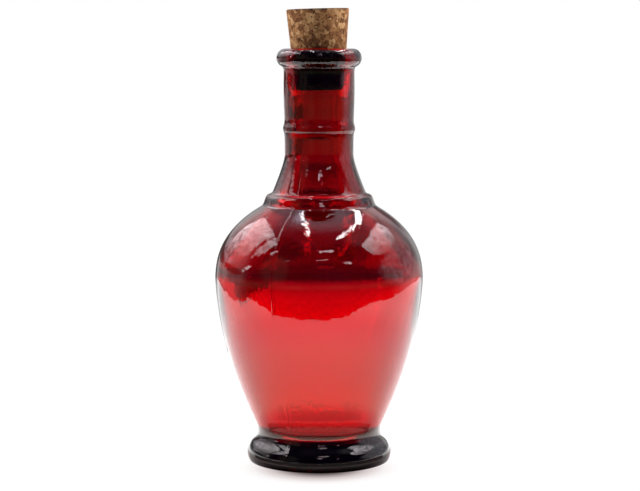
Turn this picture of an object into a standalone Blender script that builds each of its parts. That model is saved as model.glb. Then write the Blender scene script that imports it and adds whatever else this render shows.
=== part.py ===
"""Corked decorative bottle in heavy red glass, with a tapered natural cork.

Metres, +Z up. The origin is on the bottle's axis, on the surface it stands on.
The glass is one turned shell: a closed wall whose cavity opens at the mouth.
The cork is a plain truncated cone that leans slightly in the mouth.
"""

import math

import bmesh
import bpy
from mathutils import Matrix, Vector

MM = 0.001
SEGMENTS = 52
CORK_SEGMENTS = 40
SHARP_ANGLE = math.radians(32.0)

# Foot: a heavy rounded roll with a narrow upright band, on a flat bearing ring
BEARING_INNER_R = 25.0 * MM
BEARING_OUTER_R = 33.6 * MM
FOOT_R = 35.0 * MM
FOOT_BAND_LOW = 3.6 * MM
FOOT_BAND_HIGH = 5.0 * MM
FOOT_ROLL_TOP_R = 32.1 * MM
FOOT_ROLL_TOP = 10.4 * MM
PUSH_UP_DEPTH = 3.6 * MM
WAIST_R = 30.0 * MM
WAIST_HEIGHT = 15.4 * MM

# Body: a long curve out to the widest ring, then a round shoulder
BODY_START_R = 31.2 * MM
BODY_START = 19.0 * MM
BODY_START_SLOPE = 0.522
BODY_START_PULL = 39.5 * MM
BODY_R = 50.3 * MM
BODY_HEIGHT = 91.0 * MM
BODY_END_PULL = 4.0 * MM
SHOULDER_PULL = 21.6 * MM
SHOULDER_END_R = 27.65 * MM
SHOULDER_END = 123.9 * MM
SHOULDER_END_SLOPE = -1.4545
SHOULDER_END_PULL = 2.0 * MM

# Collar at the foot of the neck
COLLAR_LOW_R = 27.05 * MM
COLLAR_LOW = 124.6 * MM
COLLAR_HIGH_R = 25.65 * MM
COLLAR_HIGH = 128.6 * MM
COLLAR_TOP = 129.9 * MM
COLLAR_TOP_R = 22.9 * MM

# Neck: a flare that runs up into a plain tube with one bead and a rolled lip
FLARE_START_R = 22.4 * MM
FLARE_START = 130.6 * MM
FLARE_SLOPE = -0.414
FLARE_PULL = 17.0 * MM
FLARE_END_PULL = 2.0 * MM
NECK_R = 16.53 * MM
NECK_START = 150.0 * MM
BEAD_LOW = 158.6 * MM
BEAD_HIGH = 163.6 * MM
BEAD_R = 17.5 * MM
UPPER_NECK_R = 17.05 * MM
UPPER_NECK_HEIGHT = 180.0 * MM
LIP_UNDER_R = 16.8 * MM
LIP_UNDER = 190.4 * MM
LIP_R = 20.5 * MM
LIP_MIDDLE = 194.7 * MM
LIP_TOP = 199.2 * MM
LIP_TOP_R = 16.3 * MM
MOUTH_EDGE_R = 14.6 * MM

# Cavity: it narrows under the cork, runs parallel to the flare and reaches down into the foot
MOUTH_R = 13.85 * MM
MOUTH_DROP = 0.7 * MM
SEAT_R = 11.95 * MM
SEAT = 179.0 * MM
BORE_R = 11.0 * MM
BORE_HIGH = 173.0 * MM
BORE_LOW = 162.0 * MM
BORE_END_R = 11.5 * MM
BORE_END = 150.0 * MM
THROAT_R = 16.5 * MM
THROAT = 130.0 * MM
THROAT_SLOPE = 0.45
UNDER_COLLAR_R = 23.4 * MM
UNDER_COLLAR = 120.6 * MM
UNDER_COLLAR_SLOPE = 1.1
WALL = 3.6 * MM
INNER_SHOULDER_PULL = 14.0 * MM
INNER_BODY_START_PULL = 7.0 * MM
HEEL_R = 26.7 * MM
HEEL = 22.4 * MM
HEEL_SLOPE = 0.41
INNER_BODY_PULL = 33.4 * MM
HEEL_PULL = 9.0 * MM
FLOOR_GROOVE_R = 21.0 * MM
FLOOR_GROOVE = 10.3 * MM
FLOOR_STEP_R = 14.7 * MM
FLOOR_STEP = 10.9 * MM
FLOOR_CENTRE = 12.4 * MM

# Cork
CORK_TOP_R = 15.0 * MM
CORK_BOTTOM_R = 11.35 * MM
CORK_LENGTH = 38.5 * MM
CORK_BEVEL = 0.7 * MM
CORK_PIVOT = 191.0 * MM
CORK_PIVOT_ABOVE_END = 11.5 * MM
CORK_LEAN = math.radians(1.5)


def clear_scene() -> None:
    """Remove every object of the scene."""
    for item in list(bpy.data.objects):
        bpy.data.objects.remove(item, do_unlink=True)


def principled(name, colour, roughness, transmission=0.0, ior=1.45):
    """A Principled BSDF material with plain values."""
    material = bpy.data.materials.new(name)
    material.use_nodes = True
    shader = material.node_tree.nodes["Principled BSDF"]
    shader.inputs["Base Color"].default_value = (*colour, 1.0)
    shader.inputs["Roughness"].default_value = roughness
    shader.inputs["Metallic"].default_value = 0.0
    shader.inputs["Transmission Weight"].default_value = transmission
    shader.inputs["IOR"].default_value = ior
    return material


def span(start, start_way, start_pull, end_way, end_pull, end, steps):
    """Points of a cubic Bezier curve, without its first point.

    Both ways point along the direction of travel and are (radius, height) pairs.
    """
    first = Vector(start)
    last = Vector(end)
    handle_a = first + Vector(start_way).normalized() * start_pull
    handle_b = last - Vector(end_way).normalized() * end_pull
    points = []
    for index in range(1, steps + 1):
        t = index / steps
        s = 1.0 - t
        point = s**3 * first + 3 * s * s * t * handle_a + 3 * s * t * t * handle_b + t**3 * last
        points.append((point.x, point.y))
    return points


def quarter(start, end, steps, upright_first):
    """Points of a quarter ellipse between two points, without its first point."""
    points = []
    for index in range(1, steps + 1):
        angle = 0.5 * math.pi * index / steps
        ease_out = math.sin(angle)
        ease_in = 1.0 - math.cos(angle)
        r_share, z_share = (ease_in, ease_out) if upright_first else (ease_out, ease_in)
        r = start[0] + (end[0] - start[0]) * r_share
        z = start[1] + (end[1] - start[1]) * z_share
        points.append((r, z))
    return points


def underside():
    """From the centre of the shallow push-up out to the bearing ring."""
    centre = (0.0, PUSH_UP_DEPTH)
    ring = (BEARING_INNER_R, 0.0)
    return [centre] + span(centre, (1.0, 0.0), 9.3 * MM, (0.6, -1.0), 4.0 * MM, ring, 6)


def foot():
    """Bearing ring, rounded roll with its narrow band, and the waist above it."""
    up = (0.0, 1.0)
    lean = (-1.0, 1.0)
    points = [(BEARING_OUTER_R, 0.0)]
    points += quarter(points[-1], (FOOT_R, FOOT_BAND_LOW), 3, False)
    points.append((FOOT_R, FOOT_BAND_HIGH))
    roll_top = (FOOT_ROLL_TOP_R, FOOT_ROLL_TOP)
    points += span(points[-1], up, 2.4 * MM, lean, 1.4 * MM, roll_top, 4)
    waist = (WAIST_R, WAIST_HEIGHT)
    points += span(roll_top, lean, 1.5 * MM, up, 2.2 * MM, waist, 3)
    start = (BODY_START_R, BODY_START)
    points += span(waist, up, 1.3 * MM, (BODY_START_SLOPE, 1.0), 1.0 * MM, start, 2)
    return points


def body():
    """From the waist out to the widest ring, over the shoulder and up to the collar."""
    start = (BODY_START_R, BODY_START)
    widest = (BODY_R, BODY_HEIGHT)
    top = (SHOULDER_END_R, SHOULDER_END)
    points = span(
        start, (BODY_START_SLOPE, 1.0), BODY_START_PULL, (0.0, 1.0), BODY_END_PULL, widest, 9
    )
    points += span(
        widest, (0.0, 1.0), SHOULDER_PULL, (SHOULDER_END_SLOPE, 1.0), SHOULDER_END_PULL, top, 9
    )
    return points


def neck():
    """Collar, flare, tube, bead and the rolled lip up to the mouth's edge."""
    points = [(COLLAR_LOW_R, COLLAR_LOW), (COLLAR_HIGH_R, COLLAR_HIGH)]
    points += quarter(points[-1], (COLLAR_TOP_R, COLLAR_TOP), 2, True)
    points.append((FLARE_START_R, FLARE_START))
    tube = (NECK_R, NECK_START)
    points += span(
        points[-1], (FLARE_SLOPE, 1.0), FLARE_PULL, (0.0, 1.0), FLARE_END_PULL, tube, 5
    )
    points.append((NECK_R, BEAD_LOW))
    for share in (0.25, 0.5, 0.75):
        swell = math.sin(math.pi * share)
        bead_base = NECK_R + (UPPER_NECK_R - NECK_R) * 0.2 * share
        height = BEAD_LOW + (BEAD_HIGH - BEAD_LOW) * share
        points.append((bead_base + (BEAD_R - NECK_R) * swell, height))
    points.append((NECK_R + 0.1 * MM, BEAD_HIGH))
    points.append((UPPER_NECK_R, UPPER_NECK_HEIGHT))
    points.append((LIP_UNDER_R, LIP_UNDER))
    points += quarter(points[-1], (LIP_R, LIP_MIDDLE), 4, False)
    points += quarter(points[-1], (LIP_TOP_R, LIP_TOP), 5, True)
    points.append((MOUTH_EDGE_R, LIP_TOP))
    return points


def cavity():
    """From the mouth down the bore, under the shoulder and down to the low floor."""
    down = (0.0, -1.0)
    points = [(MOUTH_R, LIP_TOP - MOUTH_DROP)]
    points.append((SEAT_R, SEAT))
    points += quarter(points[-1], (BORE_R, BORE_HIGH), 2, False)
    points.append((BORE_R, BORE_LOW))
    bore_end = (BORE_END_R, BORE_END)
    points.append(bore_end)
    widen = (BORE_END_R - BORE_R, BORE_END - BORE_LOW)
    flare = (THROAT_SLOPE, -1.0)
    throat = (THROAT_R, THROAT)
    points += span(bore_end, widen, 5.0 * MM, flare, 8.0 * MM, throat, 4)
    spread = (UNDER_COLLAR_SLOPE, -1.0)
    under_collar = (UNDER_COLLAR_R, UNDER_COLLAR)
    points += span(throat, flare, 1.2 * MM, spread, 3.0 * MM, under_collar, 3)
    widest = (BODY_R - WALL, BODY_HEIGHT)
    points += span(
        under_collar, spread, 3.0 * MM, down, INNER_SHOULDER_PULL, widest, 7
    )
    heel = (HEEL_R, HEEL)
    fall = (-HEEL_SLOPE, -1.0)
    points += span(
        widest, down, INNER_BODY_START_PULL, fall, INNER_BODY_PULL, heel, 8
    )
    groove = (FLOOR_GROOVE_R, FLOOR_GROOVE)
    points += span(heel, fall, HEEL_PULL, (-1.0, 0.0), 2.4 * MM, groove, 4)
    step = (FLOOR_STEP_R, FLOOR_STEP)
    points += span(groove, (-1.0, 0.0), 1.0 * MM, (-1.0, 0.6), 3.0 * MM, step, 2)
    centre = (0.0, FLOOR_CENTRE)
    points += span(step, (-1.0, 0.6), 2.0 * MM, (-1.0, 0.0), 6.0 * MM, centre, 3)
    return points


def turned_mesh(name, profile, segments):
    """A mesh turned about +Z from (radius, height) points."""
    mesh = bpy.data.meshes.new(name)
    shape = bmesh.new()
    verts = [shape.verts.new((r, 0.0, z)) for r, z in profile]
    edges = [shape.edges.new(pair) for pair in zip(verts, verts[1:])]
    bmesh.ops.spin(
        shape,
        geom=verts + edges,
        cent=(0.0, 0.0, 0.0),
        axis=(0.0, 0.0, 1.0),
        angle=2.0 * math.pi,
        steps=segments,
        use_merge=True,
    )
    bmesh.ops.remove_doubles(shape, verts=shape.verts, dist=0.00001)
    bmesh.ops.recalc_face_normals(shape, faces=shape.faces)
    shape.to_mesh(mesh)
    shape.free()
    mesh.shade_smooth()
    mesh.set_sharp_from_angle(angle=SHARP_ANGLE)
    return mesh


def add_object(name, mesh, material):
    """Link a mesh to the scene as a named object with its material."""
    item = bpy.data.objects.new(name, mesh)
    item.data.materials.append(material)
    bpy.context.scene.collection.objects.link(item)
    return item


def make_bottle():
    """The glass bottle, one closed wall turned about its axis."""
    profile = underside() + foot() + body() + neck() + cavity()
    glass = principled("Red glass", (0.55, 0.02, 0.025), 0.03, 1.0, 1.5)
    return add_object("bottle", turned_mesh("bottle", profile, SEGMENTS), glass)


def make_cork():
    """The tapered cork, with its origin on the axis where it leans."""
    low = -CORK_PIVOT_ABOVE_END
    high = low + CORK_LENGTH
    taper = (CORK_TOP_R - CORK_BOTTOM_R) / CORK_LENGTH
    profile = [
        (0.0, low),
        (CORK_BOTTOM_R - CORK_BEVEL, low),
        (CORK_BOTTOM_R + CORK_BEVEL * taper, low + CORK_BEVEL),
        (CORK_TOP_R - CORK_BEVEL * taper, high - CORK_BEVEL),
        (CORK_TOP_R - CORK_BEVEL, high),
        (0.0, high),
    ]
    bark = principled("Cork", (0.38, 0.19, 0.075), 0.85)
    item = add_object("cork", turned_mesh("cork", profile, CORK_SEGMENTS), bark)
    item.location = (0.0, 0.0, CORK_PIVOT)
    item.rotation_euler = Matrix.Rotation(-CORK_LEAN, 3, "Y").to_euler()
    return item


def main() -> None:
    """Build the bottle and its cork."""
    clear_scene()
    make_bottle()
    make_cork()
    bpy.context.view_layer.update()


main()
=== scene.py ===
"""Looks of a corked decorative bottle in solid red glass.

The bottle is one turned shell of tinted glass and the cork is pressed from cork
granules. Sizes are in metres, +Z up, with the origin under the middle of the foot.
"""

import logging
import math
from collections.abc import Sequence
from dataclasses import dataclass, field, replace
from enum import Enum

import bmesh
import bpy
from mathutils import Matrix, Vector

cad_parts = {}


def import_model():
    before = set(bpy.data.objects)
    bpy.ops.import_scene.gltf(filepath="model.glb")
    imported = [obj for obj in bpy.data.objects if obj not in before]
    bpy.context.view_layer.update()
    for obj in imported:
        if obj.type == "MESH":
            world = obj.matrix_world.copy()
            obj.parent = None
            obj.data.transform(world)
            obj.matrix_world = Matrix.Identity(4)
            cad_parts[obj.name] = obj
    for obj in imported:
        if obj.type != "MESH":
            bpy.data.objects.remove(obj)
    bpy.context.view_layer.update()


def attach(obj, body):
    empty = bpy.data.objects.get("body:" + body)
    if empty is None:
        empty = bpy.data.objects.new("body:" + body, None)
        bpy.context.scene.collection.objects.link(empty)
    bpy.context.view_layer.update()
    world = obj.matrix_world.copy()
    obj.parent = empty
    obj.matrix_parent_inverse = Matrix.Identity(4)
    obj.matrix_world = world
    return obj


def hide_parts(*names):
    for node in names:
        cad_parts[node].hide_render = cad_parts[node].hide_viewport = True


LOG = logging.getLogger("bottle")
MM = 0.001
UP = (0.0, 0.0, 1.0)
SMOOTH = {"interpolation_type": "SMOOTHSTEP"}
Point = tuple[float, float]
Triple = tuple[float, float, float]
Points = tuple[Point, ...]
Levels = tuple[tuple[float, Triple], ...]
Tree = bpy.types.NodeTree
Socket = bpy.types.NodeSocket
Material = bpy.types.Material
Item = bpy.types.Object
Shape = bmesh.types.BMesh


def linear_rgba(code: str) -> tuple[float, float, float, float]:
    """Turn an sRGB hex colour into linear RGBA.

    Args:
        code: The colour as six hex digits.

    Returns:
        The linear red, green and blue, and an alpha of 1.
    """
    shares = [int(code[i : i + 2], 16) / 255 for i in (0, 2, 4)]
    linear = [s / 12.92 if s <= 0.04045 else ((s + 0.055) / 1.055) ** 2.4 for s in shares]
    return (linear[0], linear[1], linear[2], 1.0)


def add_node(
    tree: Tree,
    kind: str,
    settings: dict[str, object] | None = None,
    links: dict[str | int, object] | None = None,
) -> bpy.types.Node:
    """Add a shader node with its settings and its inputs.

    Args:
        tree: The node tree that takes the node.
        kind: The node's type name.
        settings: Attributes of the node to set.
        links: For each input, by name or number, a socket to link or a value to set.

    Returns:
        The new node.
    """
    made = tree.nodes.new(kind)
    for name, value in (settings or {}).items():
        setattr(made, name, value)
    for name, value in (links or {}).items():
        if isinstance(value, Socket):
            tree.links.new(value, made.inputs[name])
        else:
            made.inputs[name].default_value = value
    return made


def new_material(name: str) -> tuple[Material, Tree]:
    """Make an empty node material.

    Args:
        name: The material's name.

    Returns:
        The material and its cleared node tree.
    """
    material = bpy.data.materials.new(name)
    material.use_nodes = True
    material.node_tree.nodes.clear()
    return material, material.node_tree


def set_stops(ramp: bpy.types.Node, stops: Sequence[tuple[float, Sequence[float]]]) -> None:
    """Set the stops of a colour ramp.

    Args:
        ramp: The colour ramp node.
        stops: For each stop its place and its linear colour.
    """
    made = ramp.color_ramp.elements
    while len(made) < len(stops):
        made.new(1.0)
    for stop, (where, colour) in zip(made, stops):
        stop.position = where
        stop.color = (*colour, 1.0)


def span(
    start: Point,
    start_way: Point,
    start_pull: float,
    end_way: Point,
    end_pull: float,
    end: Point,
    steps: int,
) -> list[Point]:
    """Points of a cubic Bezier curve, without its first point.

    Args:
        start: The first point, as radius and height.
        start_way: The direction of travel at the start.
        start_pull: How far the start's handle reaches.
        end_way: The direction of travel at the end.
        end_pull: How far the end's handle reaches.
        end: The last point.
        steps: How many points to make.

    Returns:
        The points, the last of them being the end.
    """
    first = Vector(start)
    last = Vector(end)
    out = first + Vector(start_way).normalized() * start_pull
    back = last - Vector(end_way).normalized() * end_pull
    points = []
    for index in range(1, steps + 1):
        t = index / steps
        s = 1.0 - t
        point = s**3 * first + 3 * s * s * t * out + 3 * s * t * t * back + t**3 * last
        points.append((point.x, point.y))
    return points


def quarter(start: Point, end: Point, steps: int, upright_first: bool) -> list[Point]:
    """Points of a quarter ellipse between two points, without its first point.

    Args:
        start: The first point, as radius and height.
        end: The last point.
        steps: How many points to make.
        upright_first: Whether the curve sets out along the height.

    Returns:
        The points, the last of them being the end.
    """
    points = []
    for index in range(1, steps + 1):
        angle = 0.5 * math.pi * index / steps
        fast, slow = math.sin(angle), 1.0 - math.cos(angle)
        r_share, z_share = (slow, fast) if upright_first else (fast, slow)
        r = start[0] + (end[0] - start[0]) * r_share
        points.append((r, start[1] + (end[1] - start[1]) * z_share))
    return points


def turned(profile: Sequence[Point], steps: int) -> Shape:
    """Turn a profile about +Z into a closed skin.

    Args:
        profile: Points as radius and height, starting and ending on the axis.
        steps: How many faces go round.

    Returns:
        The skin, with its poles merged and its faces pointing out.
    """
    shape = bmesh.new()
    verts = [shape.verts.new((r, 0.0, z)) for r, z in profile]
    edges = [shape.edges.new(pair) for pair in zip(verts, verts[1:])]
    bmesh.ops.spin(
        shape,
        geom=verts + edges,
        cent=(0.0, 0.0, 0.0),
        axis=UP,
        angle=2.0 * math.pi,
        steps=steps,
        use_merge=True,
    )
    bmesh.ops.remove_doubles(shape, verts=shape.verts, dist=0.01 * MM)
    bmesh.ops.recalc_face_normals(shape, faces=shape.faces)
    return shape


def finished(shape: Shape, name: str, material: Material, levels: int = 0) -> Item:
    """Turn a shape into a smooth object of the scene.

    Args:
        shape: The shape, which is freed.
        name: The object's name.
        material: Its material.
        levels: How often Subdivision Surface splits it.

    Returns:
        The object, at the origin.
    """
    mesh = bpy.data.meshes.new(name)
    shape.to_mesh(mesh)
    shape.free()
    mesh.shade_smooth()
    mesh.materials.append(material)
    item = bpy.data.objects.new(name, mesh)
    bpy.context.scene.collection.objects.link(item)
    if levels:
        smooth = item.modifiers.new("Smooth", "SUBSURF")
        smooth.levels = smooth.render_levels = levels
    return item


@dataclass(frozen=True)
class TintedGlass:
    """Soda-lime glass coloured through its thickness, pressed in a hot mould.

    The colour comes from the depth of glass that light crosses, so thin walls glow
    red while the foot and the lip go nearly black. The surface is fire-polished: it
    mirrors sharply, bent by soft ripples and crossed by two faint mould seams.

    Each ripple is its width across, its length upwards and its height, in millimetres.
    """

    name: str = "Glass, solid red tint, moulded"
    ior: float = 1.5
    roughness: float = 0.0
    passed: Triple = (0.90, 0.158, 0.347)
    density: float = 950.0
    ripples: tuple[Triple, ...] = ((14.0, 14.0, 0.06), (1.5, 3.5, 0.035))
    crinkle_mm: float = 1.5
    crinkle_height_mm: float = 0.035
    crinkle_rise: Point = (0.088, 0.102)
    seam_turn: float = math.radians(-26.0)
    seam_mm: float = 0.35
    seam_height_mm: float = 0.06

    def ripple(self, tree: Tree, place: Socket) -> Socket:
        """Add up the ripples of the skin.

        Args:
            tree: The node tree.
            place: The place on the piece.

        Returns:
            The height in millimetres.
        """
        height = 0.0
        for across, along, tall in self.ripples:
            scale = (1.0 / across / MM, 1.0 / across / MM, 1.0 / along / MM)
            links = {0: place, 1: scale}
            drawn = add_node(tree, "ShaderNodeVectorMath", {"operation": "MULTIPLY"}, links)
            wave = add_node(
                tree,
                "ShaderNodeTexNoise",
                links={"Vector": drawn.outputs[0], "Scale": 1.0, "Detail": 1.5, "Roughness": 0.45},
            )
            links = {0: wave.outputs["Fac"], 1: tall, 2: height}
            height = add_node(tree, "ShaderNodeMath", {"operation": "MULTIPLY_ADD"}, links).outputs[0]
        return height

    def crinkle(self, tree: Tree, place: Socket, height: Socket) -> Socket:
        """Add the fine crinkle of the shoulder and the neck, where the glass chilled first.

        Args:
            tree: The node tree.
            place: The place on the piece.
            height: The height so far, in millimetres.

        Returns:
            The height in millimetres.
        """
        apart = add_node(tree, "ShaderNodeSeparateXYZ", links={"Vector": place})
        tall = add_node(
            tree,
            "ShaderNodeMapRange",
            SMOOTH,
            {
                "Value": apart.outputs["Z"],
                "From Min": self.crinkle_rise[0],
                "From Max": self.crinkle_rise[1],
                "To Min": 0.0,
                "To Max": self.crinkle_height_mm,
            },
        )
        scale = 1.0 / self.crinkle_mm / MM
        fine = add_node(
            tree,
            "ShaderNodeTexNoise",
            links={"Vector": place, "Scale": scale, "Detail": 1.0, "Roughness": 0.5},
        )
        links = {0: fine.outputs["Fac"], 1: tall.outputs["Result"], 2: height}
        return add_node(tree, "ShaderNodeMath", {"operation": "MULTIPLY_ADD"}, links).outputs[0]

    def seam(self, tree: Tree, place: Socket) -> Socket:
        """Raise the two upright lines where the mould's halves met.

        Args:
            tree: The node tree.
            place: The place on the piece.

        Returns:
            The height in millimetres.
        """
        across = (math.cos(self.seam_turn), math.sin(self.seam_turn), 0.0)
        links = {0: place, 1: across}
        away = add_node(tree, "ShaderNodeVectorMath", {"operation": "DOT_PRODUCT"}, links)
        gap = add_node(tree, "ShaderNodeMath", {"operation": "ABSOLUTE"}, {0: away.outputs["Value"]})
        ridge = add_node(
            tree,
            "ShaderNodeMapRange",
            SMOOTH,
            {
                "Value": gap.outputs[0],
                "From Min": 0.0,
                "From Max": self.seam_mm * MM,
                "To Min": self.seam_height_mm,
                "To Max": 0.0,
            },
        )
        return ridge.outputs["Result"]

    def material(self) -> Material:
        """Build the glass.

        Returns:
            The material, with the tint in its volume.
        """
        material, tree = new_material(self.name)
        place = add_node(tree, "ShaderNodeTexCoord").outputs["Object"]
        height = self.crinkle(tree, place, self.ripple(tree, place))
        links = {0: height, 1: self.seam(tree, place)}
        relief = add_node(tree, "ShaderNodeMath", {"operation": "ADD"}, links).outputs[0]
        links = {"Strength": 1.0, "Distance": MM, "Height": relief}
        bump = add_node(tree, "ShaderNodeBump", links=links)
        glass = add_node(
            tree,
            "ShaderNodeBsdfPrincipled",
            links={
                "Base Color": (1.0, 1.0, 1.0, 1.0),
                "Roughness": self.roughness,
                "IOR": self.ior,
                "Transmission Weight": 1.0,
                "Normal": bump.outputs["Normal"],
            },
        )
        tint = add_node(
            tree,
            "ShaderNodeVolumeAbsorption",
            links={"Color": (*self.passed, 1.0), "Density": self.density},
        )
        add_node(
            tree,
            "ShaderNodeOutputMaterial",
            links={"Surface": glass.outputs["BSDF"], "Volume": tint.outputs["Volume"]},
        )
        return material


@dataclass(frozen=True)
class PressedCork:
    """Cork granules glued and pressed, then ground to a taper.

    Grains of about two millimetres differ in shade from dark bark to pale straw, and
    dark cracks and pits run between them. The ground skin is matt.
    """

    name: str = "Cork, pressed granules, ground"
    grain_mm: float = 2.2
    wobble_mm: float = 2.381
    wobble_reach: float = 1.2 * MM
    crack_mm: float = 1.1111
    crack_share: float = 0.22
    crack_cut: Point = (0.42, 0.48)
    relief: float = 0.4 * MM
    tones: tuple[str, ...] = ("6c4226", "875a36", "a2754b", "ba9063")
    tone_span: Point = (0.15, 0.85)
    pit_tone: str = "371c0f"

    def grain_place(self, tree: Tree, place: Socket) -> Socket:
        """Bend the place on the cork, so that the grains' borders wander.

        Args:
            tree: The node tree.
            place: The place on the cork.

        Returns:
            The bent place.
        """
        links = {"Vector": place, "Scale": 1.0 / self.wobble_mm / MM, "Detail": 3.0}
        wobble = add_node(tree, "ShaderNodeTexNoise", links=links)
        links = {"Factor": self.wobble_reach, 4: place, 5: wobble.outputs["Color"]}
        return add_node(tree, "ShaderNodeMix", {"data_type": "VECTOR"}, links).outputs[1]

    def colour(self, tree: Tree, place: Socket, cracks: Socket) -> Socket:
        """Shade the grains, with dark cracks between them.

        Args:
            tree: The node tree.
            place: The place on the cork.
            cracks: The crack pattern.

        Returns:
            The colour.
        """
        where = {
            "Vector": self.grain_place(tree, place),
            "Scale": 1.0 / self.grain_mm / MM,
            "Randomness": 1.0,
        }
        grains = add_node(tree, "ShaderNodeTexVoronoi", links=where)
        ramp = add_node(tree, "ShaderNodeValToRGB", links={"Fac": grains.outputs["Color"]})
        low, high = self.tone_span
        gap = (high - low) / (len(self.tones) - 1)
        set_stops(ramp, [(low + gap * i, linear_rgba(tone)[:3]) for i, tone in enumerate(self.tones)])
        rims = add_node(tree, "ShaderNodeTexVoronoi", {"feature": "DISTANCE_TO_EDGE"}, where)
        links = {0: rims.outputs["Distance"], 1: self.crack_share, 2: cracks}
        depth = add_node(tree, "ShaderNodeMath", {"operation": "MULTIPLY_ADD"}, links).outputs[0]
        low, high = self.crack_cut
        links = {"Value": depth, "From Min": low, "From Max": high, "To Min": 1.0, "To Max": 0.0}
        dark = add_node(tree, "ShaderNodeMapRange", links=links).outputs["Result"]
        links = {"Factor": dark, 6: ramp.outputs["Color"], 7: linear_rgba(self.pit_tone)}
        return add_node(tree, "ShaderNodeMix", {"data_type": "RGBA"}, links).outputs[2]

    def material(self) -> Material:
        """Build the cork.

        Returns:
            The material.
        """
        material, tree = new_material(self.name)
        place = add_node(tree, "ShaderNodeTexCoord").outputs["Object"]
        scale = 1.0 / self.crack_mm / MM
        links = {"Vector": place, "Scale": scale, "Detail": 4.0, "Roughness": 0.7}
        cracks = add_node(tree, "ShaderNodeTexNoise", links=links).outputs["Fac"]
        links = {"Strength": 0.8, "Distance": self.relief, "Height": cracks}
        bump = add_node(tree, "ShaderNodeBump", links=links)
        bark = add_node(
            tree,
            "ShaderNodeBsdfPrincipled",
            links={
                "Base Color": self.colour(tree, place, cracks),
                "Roughness": 0.85,
                "Specular IOR Level": 0.25,
                "Normal": bump.outputs["Normal"],
            },
        )
        add_node(tree, "ShaderNodeOutputMaterial", links={"Surface": bark.outputs["BSDF"]})
        return material


@dataclass(frozen=True)
class Glow:
    """A plain studio surface that gives light, such as a lit wall or a tube lamp.

    It may fade out towards its rim, measured as a share of its reach from its middle,
    and may be patchy, as a wall is where things stand before it.
    """

    name: str
    tone: str
    strength: float
    middle: Triple = (0.0, 0.0, 0.0)
    reach: Triple = (1.0, 1.0, 1.0)
    soft: float = 0.0
    patchy: float = 0.0
    patch_mm: float = 150.0

    def patches(self, tree: Tree, place: Socket) -> Socket:
        """Vary the strength in soft patches.

        Args:
            tree: The node tree.
            place: The place in the room.

        Returns:
            The strength.
        """
        scale = 1.0 / self.patch_mm / MM
        links = {"Vector": place, "Scale": scale, "Detail": 4.0, "Distortion": 0.6}
        cloud = add_node(tree, "ShaderNodeTexNoise", links=links)
        level = add_node(
            tree,
            "ShaderNodeMapRange",
            links={
                "Value": cloud.outputs["Fac"],
                "From Min": 0.35,
                "From Max": 0.65,
                "To Min": self.strength * (1.0 - self.patchy),
                "To Max": self.strength * (1.0 + self.patchy),
            },
        )
        return level.outputs["Result"]

    def soften(self, tree: Tree, place: Socket, surface: Socket) -> Socket:
        """Fade the surface out towards its rim.

        Args:
            tree: The node tree.
            place: The place in the room.
            surface: The surface's shader.

        Returns:
            The faded shader.
        """
        links = {0: place, 1: self.middle}
        off = add_node(tree, "ShaderNodeVectorMath", {"operation": "SUBTRACT"}, links).outputs[0]
        links = {0: off, 1: self.reach}
        ratio = add_node(tree, "ShaderNodeVectorMath", {"operation": "DIVIDE"}, links).outputs[0]
        far = add_node(tree, "ShaderNodeVectorMath", {"operation": "LENGTH"}, {0: ratio})
        links = {"Value": far.outputs["Value"], "From Min": 1.0 - self.soft, "From Max": 1.0}
        fade = add_node(tree, "ShaderNodeMapRange", SMOOTH, links).outputs["Result"]
        clear = add_node(tree, "ShaderNodeBsdfTransparent").outputs[0]
        links = {0: fade, 1: surface, 2: clear}
        return add_node(tree, "ShaderNodeMixShader", links=links).outputs[0]

    def material(self) -> Material:
        """Build the surface.

        Returns:
            The material.
        """
        material, tree = new_material(self.name)
        place = add_node(tree, "ShaderNodeTexCoord").outputs["Object"]
        strength = self.patches(tree, place) if self.patchy else self.strength
        links = {"Color": linear_rgba(self.tone), "Strength": strength}
        surface = add_node(tree, "ShaderNodeEmission", links=links).outputs["Emission"]
        if self.soft:
            surface = self.soften(tree, place, surface)
        add_node(tree, "ShaderNodeOutputMaterial", links={"Surface": surface})
        return material


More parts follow.
